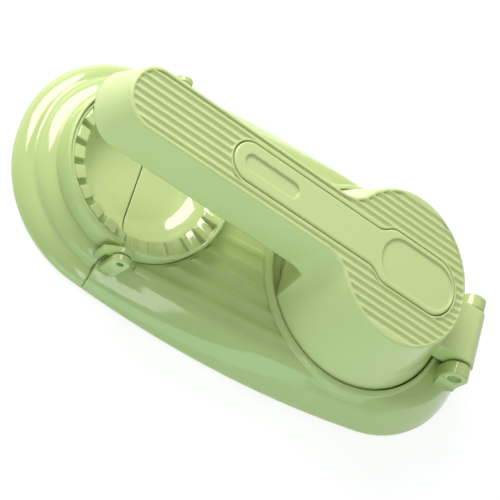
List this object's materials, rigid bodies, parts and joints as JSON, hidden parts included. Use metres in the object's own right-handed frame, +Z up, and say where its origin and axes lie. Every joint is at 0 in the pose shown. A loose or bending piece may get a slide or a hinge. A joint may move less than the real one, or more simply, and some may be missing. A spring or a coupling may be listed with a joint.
{
  "type": "dumpling maker",
  "caption": "Hand dumpling maker: long base with a fold-over crimping mould at one end and a lever-arm dough press at the other, filling spoon stored in the arm.",
  "frame": {"origin": "middle of the base's footprint, on the table plane under the feet", "axes": "+X along the base towards the arm hinge, +Z up, the mould flap at -X"},
  "size_m": [0.294, 0.1468, 0.0892],
  "materials": {
    "gloss_green": "glossy pistachio green moulded plastic",
    "satin_green": "satin pistachio green moulded plastic",
    "press_green": "smooth pistachio green moulded plastic",
    "steel": "plain steel",
    "foot_rubber": "pale soft rubber"
  },
  "bodies": {
    "base": {"base_shell": "gloss_green", "fixed_mould_half": "gloss_green", "dough_plate": "press_green", "base_bottom_cover": "gloss_green", "base_cover_screws": "steel", "fixed_mould_screws": "steel", "base_foot_front_left": "foot_rubber", "base_foot_rear_left": "foot_rubber", "base_foot_front_right": "foot_rubber", "base_foot_rear_right": "foot_rubber", "arm_hinge_pin": "steel", "flap_pin_front": "steel", "flap_pin_rear": "steel"},
    "flap": {"flap_shell": "gloss_green", "flap_mould_half": "gloss_green", "flap_bottom_cover": "gloss_green", "flap_cover_screws": "steel", "flap_mould_screws": "steel", "flap_foot_front": "foot_rubber", "flap_foot_rear": "foot_rubber"},
    "arm": {"arm_shell": "satin_green", "handle_bottom_cover": "satin_green", "handle_screws": "steel", "press_disc": "press_green", "press_disc_screws": "steel"},
    "spoon": {"filling_spoon": "satin_green"}
  },
  "joints": [
    {"name": "arm_lift", "type": "hinge", "parent": "base", "child": "arm", "pos_m": [0.126, 0, 0.0332], "axis": [0, 1, 0], "range_deg": [0, 105]},
    {"name": "flap_fold", "type": "hinge", "parent": "base", "child": "flap", "pos_m": [-0.079, 0, 0.0272], "axis": [0, 1, 0], "range_deg": [0, 42]},
    {"name": "spoon_lift", "type": "slide", "parent": "arm", "child": "spoon", "axis": [0.1149, 0, 0.9934], "range_m": [0, 0.04]}
  ]
}
